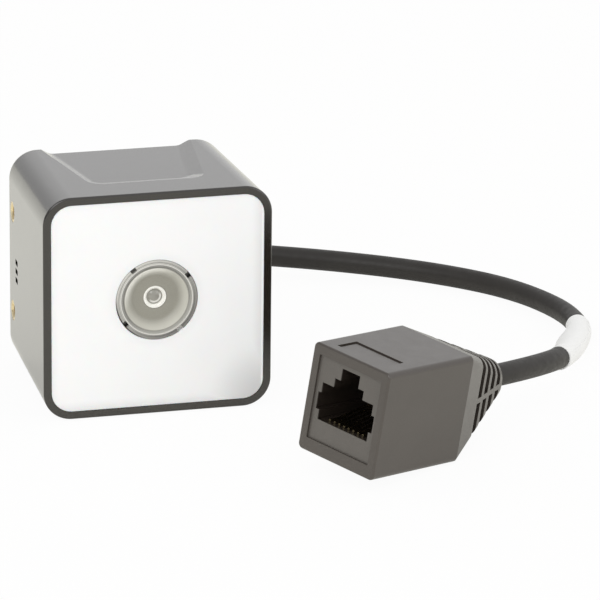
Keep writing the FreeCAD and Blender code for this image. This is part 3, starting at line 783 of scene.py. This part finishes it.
SOCKET_GREY = SocketPlastic("socket_grey", (0.109, 0.099, 0.088), 0.36, Grain.MATT, 0.06, coat=0.2)
STEEL = BareMetal("steel", (0.62, 0.61, 0.59), (0.48, 0.47, 0.45), 0.30)
BRASS = BareMetal("brass", (0.93, 0.79, 0.50), (0.80, 0.62, 0.33), 0.28)
CONTACT_GOLD = BareMetal("contact_gold", (0.36, 0.30, 0.18), (0.21, 0.165, 0.09), 0.24)


@cache
def material_of(finish: Finish) -> bpy.types.Material:
    """Makes a finish's material the first time, and hands out the same one after that."""
    return finish.make()


def dress_node(name: str, finish: Finish) -> None:
    """Gives a solid of the model its finish.

    Args:
        name: The solid's name.
        finish: Its finish.
    """
    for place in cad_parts[name].material_slots:
        place.material = material_of(finish)
    LOG.info("%s: %s", name, finish.name)


def dress_piece(piece: Piece, finish: Finish) -> None:
    """Gives a new piece its finish and its body, and reports it.

    Args:
        piece: The piece.
        finish: Its finish.
    """
    piece.data.materials.clear()
    piece.data.materials.append(material_of(finish))
    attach(piece, BODY)
    LOG.info("%s: new piece, %s", piece.name, finish.name)


def start_clear() -> None:
    """Leaves nothing selected, in object mode."""
    if bpy.context.object and bpy.context.object.mode != "OBJECT":
        bpy.ops.object.mode_set(mode="OBJECT")
    bpy.ops.object.select_all(action="DESELECT")


def apply_modifiers(piece: Piece) -> None:
    """Applies a piece's modifiers in order.

    Args:
        piece: The piece, which becomes the active one.
    """
    bpy.context.view_layer.objects.active = piece
    for name in [modifier.name for modifier in piece.modifiers]:
        bpy.ops.object.modifier_apply(modifier=name)


def select_points(piece: Piece, wanted: Callable[[Vector], bool]) -> None:
    """Selects, in edit mode, the points of a mesh that a test picks.

    Args:
        piece: The mesh's object.
        wanted: The test, of a point's place in the mesh.
    """
    bpy.ops.mesh.select_all(action="DESELECT")
    bpy.ops.object.mode_set(mode="OBJECT")
    for point in piece.data.vertices:
        point.select = wanted(point.co)
    bpy.ops.object.mode_set(mode="EDIT")


def settle(piece: Piece, name: str) -> None:
    """Puts a piece's place into its mesh and gives it its name.

    Args:
        piece: The piece.
        name: Its name.
    """
    start_clear()
    piece.select_set(True)
    bpy.context.view_layer.objects.active = piece
    bpy.ops.object.transform_apply(location=True, rotation=True, scale=True)
    piece.name = name
    piece.data.name = name


@dataclass
class ScanHousing:
    """The moulded case and its two threaded inserts."""

    insert_x: float = -18.18
    insert_y: float = 12.25
    insert_heights: Pair = (9.6, 26.8)
    bore: float = 1.05
    ridge: float = 0.17
    pitch: float = 0.45
    turns: int = 5
    first_turn: float = 0.40
    ridge_width: float = 0.8
    crest_width: float = 0.2
    root: float = 0.02
    steps: int = 36
    crease: float = 40.0

    def build(self) -> list[Piece]:
        """Cuts the thread of each insert.

        Returns:
            The threads.
        """
        lower, upper = self.insert_heights
        first = self.thread(lower, "insert_thread_lower")
        start_clear()
        first.select_set(True)
        bpy.context.view_layer.objects.active = first
        bpy.ops.object.duplicate(linked=False)
        second = bpy.context.object
        bpy.ops.transform.translate(value=(0.0, 0.0, (upper - lower) * MM))
        settle(second, "insert_thread_upper")
        return [first, second]

    def thread(self, height: float, name: str) -> Piece:
        """Winds one thread ridge along the inside of a bore.

        Args:
            height: The bore's height in millimetres.
            name: The piece's name.

        Returns:
            The ridge.
        """
        start_clear()
        size = self.pitch * self.ridge_width * MM
        place = Vector((self.insert_x + self.first_turn, self.insert_y, height)) * MM
        bpy.ops.mesh.primitive_plane_add(size=size, location=place, rotation=(math.pi / 2, 0.0, 0.0))
        piece = bpy.context.object
        bpy.ops.object.transform_apply(location=False, rotation=True, scale=False)
        bpy.ops.object.mode_set(mode="EDIT")
        bpy.ops.mesh.delete(type="ONLY_FACE")
        bpy.ops.mesh.select_all(action="SELECT")
        bpy.ops.transform.resize(value=(1.0, 1.0, self.ridge * MM / size))
        bpy.ops.transform.translate(value=(0.0, 0.0, (self.bore - self.ridge / 2 + self.root) * MM))
        select_points(piece, lambda spot: spot.z < (self.bore - self.ridge / 2) * MM)
        bpy.ops.transform.resize(value=(self.crest_width, 1.0, 1.0))
        bpy.ops.object.mode_set(mode="OBJECT")
        winding = piece.modifiers.new("winding", "SCREW")
        winding.axis = "X"
        winding.screw_offset = self.pitch * MM
        winding.iterations = self.turns
        winding.steps = self.steps
        winding.render_steps = self.steps
        winding.use_merge_vertices = False
        apply_modifiers(piece)
        bpy.ops.object.mode_set(mode="EDIT")
        bpy.ops.mesh.select_all(action="SELECT")
        bpy.ops.mesh.remove_doubles(threshold=1e-6)
        bpy.ops.mesh.fill_holes(sides=4)
        bpy.ops.mesh.select_all(action="SELECT")
        bpy.ops.mesh.normals_make_consistent(inside=False)
        bpy.ops.object.mode_set(mode="OBJECT")
        bpy.ops.object.shade_smooth_by_angle(angle=math.radians(self.crease))
        settle(piece, name)
        return piece

    def dress(self, threads: list[Piece]) -> None:
        """Finishes the case, its inserts and their threads.

        Args:
            threads: The threads.
        """
        dress_node("housing", HOUSING_GREY)
        dress_node("side_inserts", BRASS)
        for thread in threads:
            dress_piece(thread, BRASS)


@dataclass
class FrontWindow:
    """The white panel and the lens in its round window."""

    def dress(self) -> None:
        """Finishes the panel, the bezel, the dish and the lens."""
        dress_node("front_diffuser", DiffuserSheet())
        dress_node("window_ring", ClearPlastic())
        dress_node("lens_dish", DISH_GREY)
        dress_node("lens_retainer", CREAM_PLASTIC)
        dress_node("front_lens", OpticalGlass())
        dress_node("lens_barrel", BLACK_PLASTIC)
        dress_node("lens_holder", BLACK_PLASTIC)


@dataclass
class BoardStack:
    """The circuit boards inside, with what is soldered, plugged and screwed to them."""

    def dress(self) -> None:
        """Finishes every piece of the stack."""
        for name in ("imager_board", "led_board", "decoder_board"):
            dress_node(name, SolderMask())
        for name in ("image_sensor", "decoder_chip", "memory_chip", "buzzer"):
            dress_node(name, BLACK_PLASTIC)
        for name in ("front_spacers", "rear_spacers", "cable_header", "cable_plug", "flex_connectors"):
            dress_node(name, NYLON_WHITE)
        dress_node("illumination_leds", LED_WHITE)
        dress_node("imager_flex", FlexFilm())
        dress_node("stack_screws", STEEL)
        dress_node("cable_leads", LEAD_RED)


@dataclass
class Tether:
    """The cable from the grommet to the jack, and the paper label wrapped round it."""

    route: tuple[Place, ...] = (
        (0.0, 21.15, 11.0),
        (0.0, 36.0, 11.0),
        (9.0, 48.0, 9.0),
        (23.5, 50.8, 4.4),
        (43.4, 46.0, 3.1),
        (61.9, 37.1, 2.2),
        (74.4, 24.4, 2.0),
        (79.1, 4.1, 2.8),
        (70.9, -15.2, 4.45),
        (60.246, -28.543, 7.463),
        (50.508, -34.725, 8.689),
    )
    radius: float = 1.85
    length: float = 172.6
    label_start: float = 124.8
    label_length: float = 24.0
    label_thick: float = 0.10
    label_rows: int = 20
    label_play: float = 0.01
    label_gap: float = 1.1
    label_sides: int = 72
    label_crease: float = 50.0
    flap_turn: Pair = (58.0, 202.0)

    def line(self, name: str, radius: float) -> Piece:
        """Draws the cable's smooth line through its route.

        Args:
            name: The curve's name.
            radius: The radius of the tube round it in millimetres, or 0 for the line alone.

        Returns:
            The curve.
        """
        curve = bpy.data.curves.new(name, "CURVE")
        curve.dimensions = "3D"
        curve.twist_mode = "Z_UP"
        spline = curve.splines.new("NURBS")
        spline.points.add(len(self.route) - 1)
        for point, spot in zip(spline.points, self.route):
            point.co = (*(part * MM for part in spot), 1.0)
        spline.order_u = 3
        spline.use_endpoint_u = True
        spline.resolution_u = 24
        curve.bevel_depth = radius * MM
        curve.bevel_resolution = 8
        curve.use_fill_caps = True
        piece = bpy.data.objects.new(name, curve)
        bpy.context.collection.objects.link(piece)
        return piece

    def build(self) -> tuple[Piece, Piece]:
        """Lays the cable and wraps its label.

        Returns:
            The cable and the label.
        """
        cable = self.line("cable_jacket", self.radius)
        label = self.label()
        return cable, label

    def label(self) -> Piece:
        """Wraps the label: a sleeve round the cable and the end that overlaps it.

        Returns:
            The label.
        """
        sleeve = self.wrap(self.radius + self.label_play, None)
        flap = self.wrap(self.radius + self.label_thick + 2 * self.label_play, self.flap_turn)
        start_clear()
        sleeve.select_set(True)
        flap.select_set(True)
        bpy.context.view_layer.objects.active = sleeve
        bpy.ops.object.join()
        guide = self.line("cable_line", 0.0)
        guide.data.use_path = True
        guide.data.use_deform_bounds = False
        bend = sleeve.modifiers.new("bend", "CURVE")
        bend.object = guide
        bend.deform_axis = "POS_X"
        apply_modifiers(sleeve)
        bpy.data.objects.remove(guide)
        bpy.ops.object.shade_smooth_by_angle(angle=math.radians(self.label_crease))
        settle(sleeve, "wrapped_label")
        return sleeve

    def wrap(self, radius: float, turn: Pair | None) -> Piece:
        """Rolls one layer of the label round a straight line along X.

        Args:
            radius: The layer's inner radius in millimetres.
            turn: The first and last angle that it covers in degrees, or None for all round.

        Returns:
            The layer.
        """
        start_clear()
        place = (self.label_start * MM, 0.0, 0.0)
        bpy.ops.mesh.primitive_circle_add(
            vertices=self.label_sides, radius=radius * MM, fill_type="NOTHING", location=place,
            rotation=(0.0, math.pi / 2, 0.0))
        piece = bpy.context.object
        bpy.ops.object.transform_apply(location=True, rotation=True, scale=True)
        bpy.ops.object.mode_set(mode="EDIT")
        if turn:
            def outside(spot: Vector) -> bool:
                """Tells whether a point is off the part that the layer covers."""
                angle = math.degrees(math.atan2(spot.y, spot.z)) % 360
                return not turn[0] <= angle <= turn[1]

            select_points(piece, outside)
            bpy.ops.mesh.delete(type="VERT")
        bpy.ops.mesh.select_all(action="SELECT")
        step = self.label_length / self.label_rows * MM
        for _ in range(self.label_rows):
            bpy.ops.mesh.extrude_region_move(TRANSFORM_OT_translate={"value": (step, 0.0, 0.0)})
        bpy.ops.mesh.select_all(action="SELECT")
        bpy.ops.mesh.normals_make_consistent(inside=False)
        bpy.ops.object.mode_set(mode="OBJECT")
        self.straighten(piece, radius)
        paper = piece.modifiers.new("paper", "SOLIDIFY")
        paper.thickness = self.label_thick * MM
        paper.offset = 1.0
        apply_modifiers(piece)
        return piece

    def straighten(self, piece: Piece, radius: float) -> None:
        """Draws a layer's inner side off the cable, because stiff paper lies straight across the bend.

        Args:
            piece: The layer.
            radius: Its inner radius in millimetres.
        """
        for point in piece.data.vertices:
            along = (point.co.x / MM - self.label_start) / self.label_length
            inward = max(-point.co.y / (radius * MM), 0.0)
            point.co.y -= self.label_gap * MM * math.sin(math.pi * along) ** 2 * inward ** 2

    def dress(self, cable: Piece, label: Piece) -> None:
        """Finishes the cable, its label and its grommet.

        Args:
            cable: The cable.
            label: Its label.
        """
        dress_piece(label, LabelPaper())
        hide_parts("cable_label")
        dress_node("cable_grommet", RUBBER_BLACK)
        dress_piece(cable, CableJacket())
        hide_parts("cable")


@dataclass
class InlineJack:
    """The jack at the cable's end."""

    def dress(self) -> None:
        """Finishes the shell, the socket and its contacts."""
        dress_node("jack_shell", JACK_GREY)
        dress_node("jack_insert", SOCKET_GREY)
        dress_node("jack_contacts", CONTACT_GOLD)


@dataclass(frozen=True)
class SoftLamp:
    """A soft box: where it stands, what it faces, how wide and how strong it is."""

    name: str
    place: Place
    wide: float
    tall: float
    power: float
    aim: Place = (0.02, -0.01, 0.015)

    def build(self) -> None:
        """Sets up the lamp."""
        data = bpy.data.lights.new(self.name, "AREA")
        data.shape = "RECTANGLE"
        data.size = self.wide
        data.size_y = self.tall
        data.energy = self.power
        lamp = bpy.data.objects.new(self.name, data)
        lamp.location = self.place
        lamp.rotation_euler = (Vector(self.aim) - Vector(self.place)).to_track_quat("-Z", "Y").to_euler()
        lamp.visible_camera = False
        bpy.context.collection.objects.link(lamp)


@dataclass
class Studio:
    """The pale floor, the soft light and the camera."""

    lamps: tuple[SoftLamp, ...] = (
        SoftLamp("key", (-0.45, -0.80, 0.65), 0.60, 0.60, 3.3),
        SoftLamp("fill", (0.70, -0.70, 0.40), 0.50, 0.50, 0.85),
    )
    ambient: float = 0.78
    wall_gloss: Pair = (0.47, 0.82)
    wall_reach: Pair = (-0.36, 0.0)
    floor_radius: float = 8.0
    floor_colour: Colour = (0.91, 0.90, 0.875)
    floor_warmth: Colour = (0.92, 0.905, 0.80)
    floor_show: float = 0.95
    floor_gloss: float = 0.30
    floor_drop: float = 0.0001
    azimuth: float = -14.70
    elevation: float = 18.87
    roll: float = 0.64
    distance: float = 0.86564
    lens: float = 318.0
    sensor: float = 36.0
    clip: Pair = (0.01, 50.0)
    target: Place = (0.02377, -0.01615, 0.01768)

    def build(self) -> None:
        """Sets up the camera, the floor, the lamps and the air round them."""
        self.build_camera()
        self.build_floor()
        self.build_air()
        for lamp in self.lamps:
            lamp.build()
        bpy.context.scene.view_settings.view_transform = "Standard"

    def build_camera(self) -> None:
        """Stands the camera where the photograph was taken from."""
        data = bpy.data.cameras.new("camera")
        data.lens = self.lens
        data.sensor_width = self.sensor
        data.clip_start, data.clip_end = self.clip
        camera = bpy.data.objects.new("camera", data)
        turn = Euler((math.radians(90 - self.elevation), 0.0, math.radians(self.azimuth))).to_matrix()
        turn = turn @ Matrix.Rotation(math.radians(self.roll), 3, "Z")
        back = turn @ Vector((0.0, 0.0, 1.0))
        camera.matrix_world = Matrix.Translation(Vector(self.target) + back * self.distance) @ turn.to_4x4()
        bpy.context.collection.objects.link(camera)
        bpy.context.scene.camera = camera

    @staticmethod
    def seen(tree: bpy.types.NodeTree) -> Socket:
        """Adds nodes that tell whether the camera sees a place, straight or in gloss or glass.

        Args:
            tree: The node tree.

        Returns:
            1 where it does, 0 elsewhere.
        """
        path = tree.nodes.new("ShaderNodeLightPath")
        total = path.outputs["Is Camera Ray"]
        for ray in ("Is Glossy Ray", "Is Transmission Ray"):
            join = tree.nodes.new("ShaderNodeMath")
            join.operation = "MAXIMUM"
            tree.links.new(total, join.inputs[0])
            tree.links.new(path.outputs[ray], join.inputs[1])
            total = join.outputs[0]
        return total

    def build_floor(self) -> None:
        """Lays the pale floor, which looks white and still takes a soft shadow."""
        start_clear()
        bpy.ops.mesh.primitive_circle_add(
            vertices=96, radius=self.floor_radius, fill_type="NGON", location=(0.0, 0.0, -self.floor_drop))
        floor = bpy.context.object
        floor.name = "floor"
        recipe = Recipe("floor_white")
        glossy = recipe.node("ShaderNodeLightPath").outputs["Is Glossy Ray"]
        paper = recipe.mottled(self.floor_colour, amount=0.01, size=120.0)
        recipe.shade(colour=recipe.blend(glossy, paper, self.floor_warmth), roughness=0.8, specular=0.2)
        white = recipe.node("ShaderNodeEmission", {"Color": (1.0, 1.0, 1.0), "Strength": 1.0})
        whiteness = recipe.spread(glossy, self.floor_show, self.floor_gloss, (0.0, 1.0))
        share = recipe.sum(self.seen(recipe.tree), whiteness, "MULTIPLY")
        mix = recipe.node("ShaderNodeMixShader", {0: share})
        recipe.tree.links.new(recipe.shader.outputs["BSDF"], mix.inputs[1])
        recipe.tree.links.new(white.outputs["Emission"], mix.inputs[2])
        recipe.tree.links.new(mix.outputs["Shader"], recipe.tree.nodes["Material Output"].inputs["Surface"])
        floor.data.materials.append(recipe.material)

    def build_air(self) -> None:
        """Lights everything softly from all round, shows white behind it, and dims its left in gloss."""
        world = bpy.data.worlds.new("studio")
        bpy.context.scene.world = world
        world.use_nodes = True
        tree = world.node_tree
        strength = tree.nodes.new("ShaderNodeMapRange")
        tree.links.new(self.seen(tree), strength.inputs["Value"])
        strength.inputs["To Min"].default_value = self.ambient
        way = tree.nodes.new("ShaderNodeSeparateXYZ")
        tree.links.new(tree.nodes.new("ShaderNodeTexCoord").outputs["Generated"], way.inputs["Vector"])
        wall = tree.nodes.new("ShaderNodeMapRange")
        wall.interpolation_type = "SMOOTHSTEP"
        tree.links.new(way.outputs["X"], wall.inputs["Value"])
        wall.inputs["From Min"].default_value, wall.inputs["From Max"].default_value = self.wall_reach
        wall.inputs["To Min"].default_value, wall.inputs["To Max"].default_value = self.wall_gloss
        gloss = tree.nodes.new("ShaderNodeMapRange")
        tree.links.new(tree.nodes.new("ShaderNodeLightPath").outputs["Is Glossy Ray"], gloss.inputs["Value"])
        gloss.inputs["To Min"].default_value = 1.0
        tree.links.new(wall.outputs["Result"], gloss.inputs["To Max"])
        total = tree.nodes.new("ShaderNodeMath")
        total.operation = "MULTIPLY"
        tree.links.new(strength.outputs["Result"], total.inputs[0])
        tree.links.new(gloss.outputs["Result"], total.inputs[1])
        tree.nodes["Background"].inputs["Color"].default_value = (1.0, 1.0, 1.0, 1.0)
        tree.links.new(total.outputs["Value"], tree.nodes["Background"].inputs["Strength"])


def main() -> None:
    """Builds the studio, then each part of the scan engine."""
    logging.basicConfig(level=logging.INFO, format="%(name)s %(message)s")
    Studio().build()
    tether = Tether()
    cable, label = tether.build()
    housing = ScanHousing()
    threads = housing.build()
    housing.dress(threads)
    FrontWindow().dress()
    BoardStack().dress()
    InlineJack().dress()
    tether.dress(cable, label)


if __name__ == "__main__":
    main()
